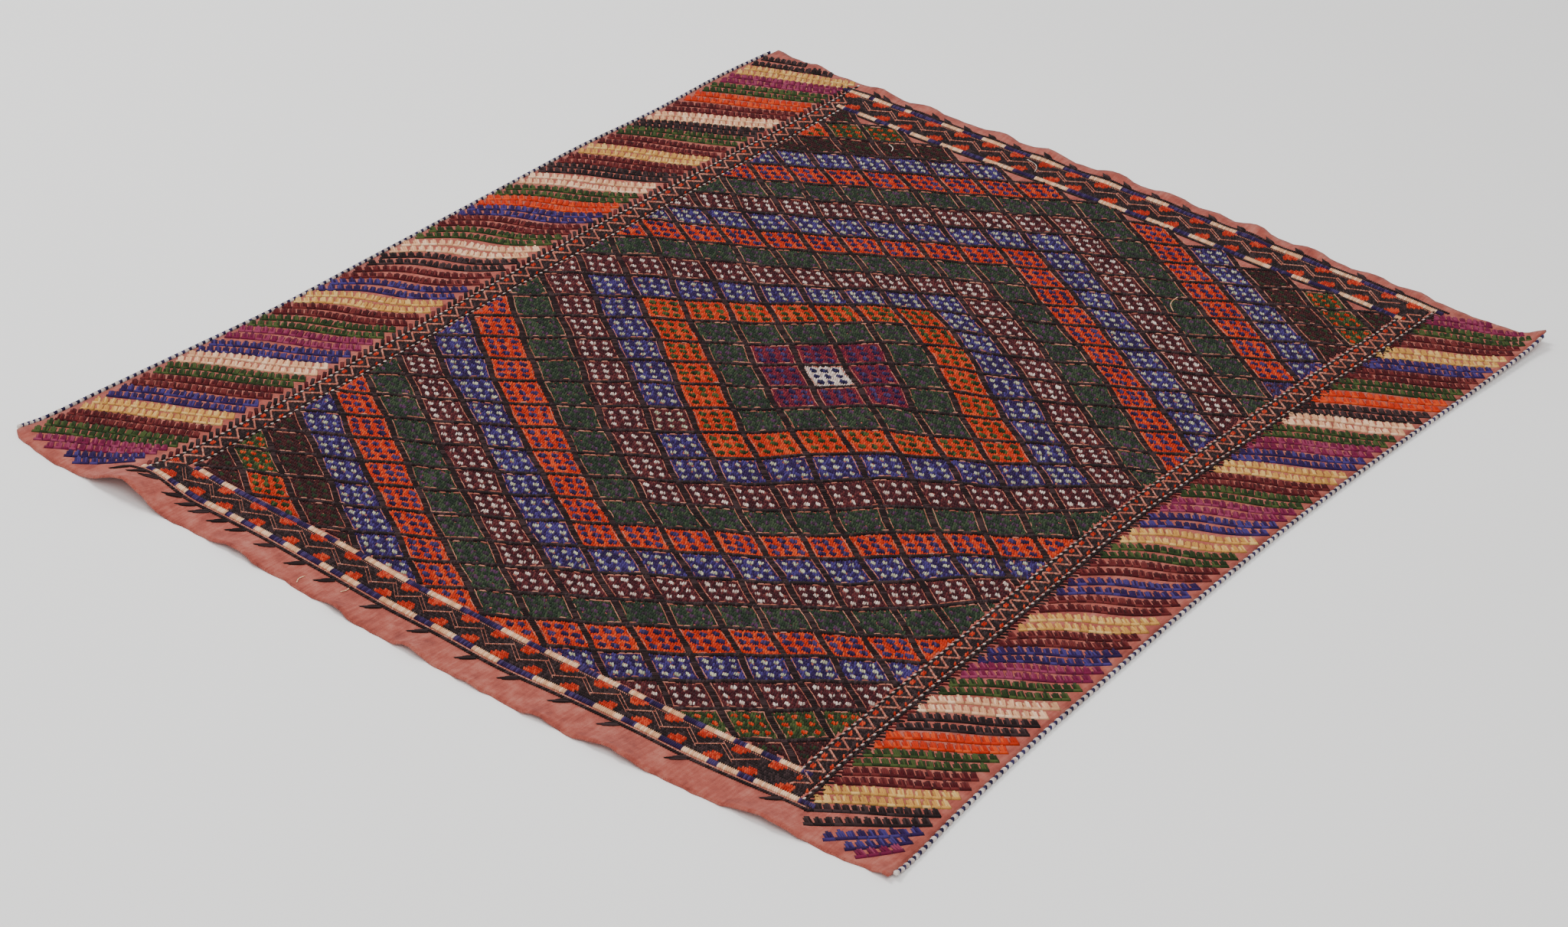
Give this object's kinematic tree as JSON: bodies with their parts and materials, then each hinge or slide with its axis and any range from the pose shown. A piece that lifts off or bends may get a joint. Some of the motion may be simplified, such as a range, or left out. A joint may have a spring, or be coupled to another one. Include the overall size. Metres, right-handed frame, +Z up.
{
  "type": "kilim rug",
  "caption": "Flat brocaded kilim rug with rippled plain-weave ends and an overcast cord along each side, lying on the floor.",
  "frame": {"origin": "on the floor below the middle of the rug's bounding box", "axes": "+X across the width from the left selvedge to the right one, +Y along the length towards the top end, +Z up"},
  "size_m": [1.2367, 1.4915, 0.0277],
  "materials": {
    "ground_wool": "plain-woven salmon wool under multicoloured brocade",
    "overcast_wool": "cream and dark violet wool wrapped round the side warps"
  },
  "bodies": {
    "root": {"kilim_cloth": "ground_wool", "selvedge_left": "overcast_wool", "selvedge_right": "overcast_wool"}
  },
  "joints": []
}
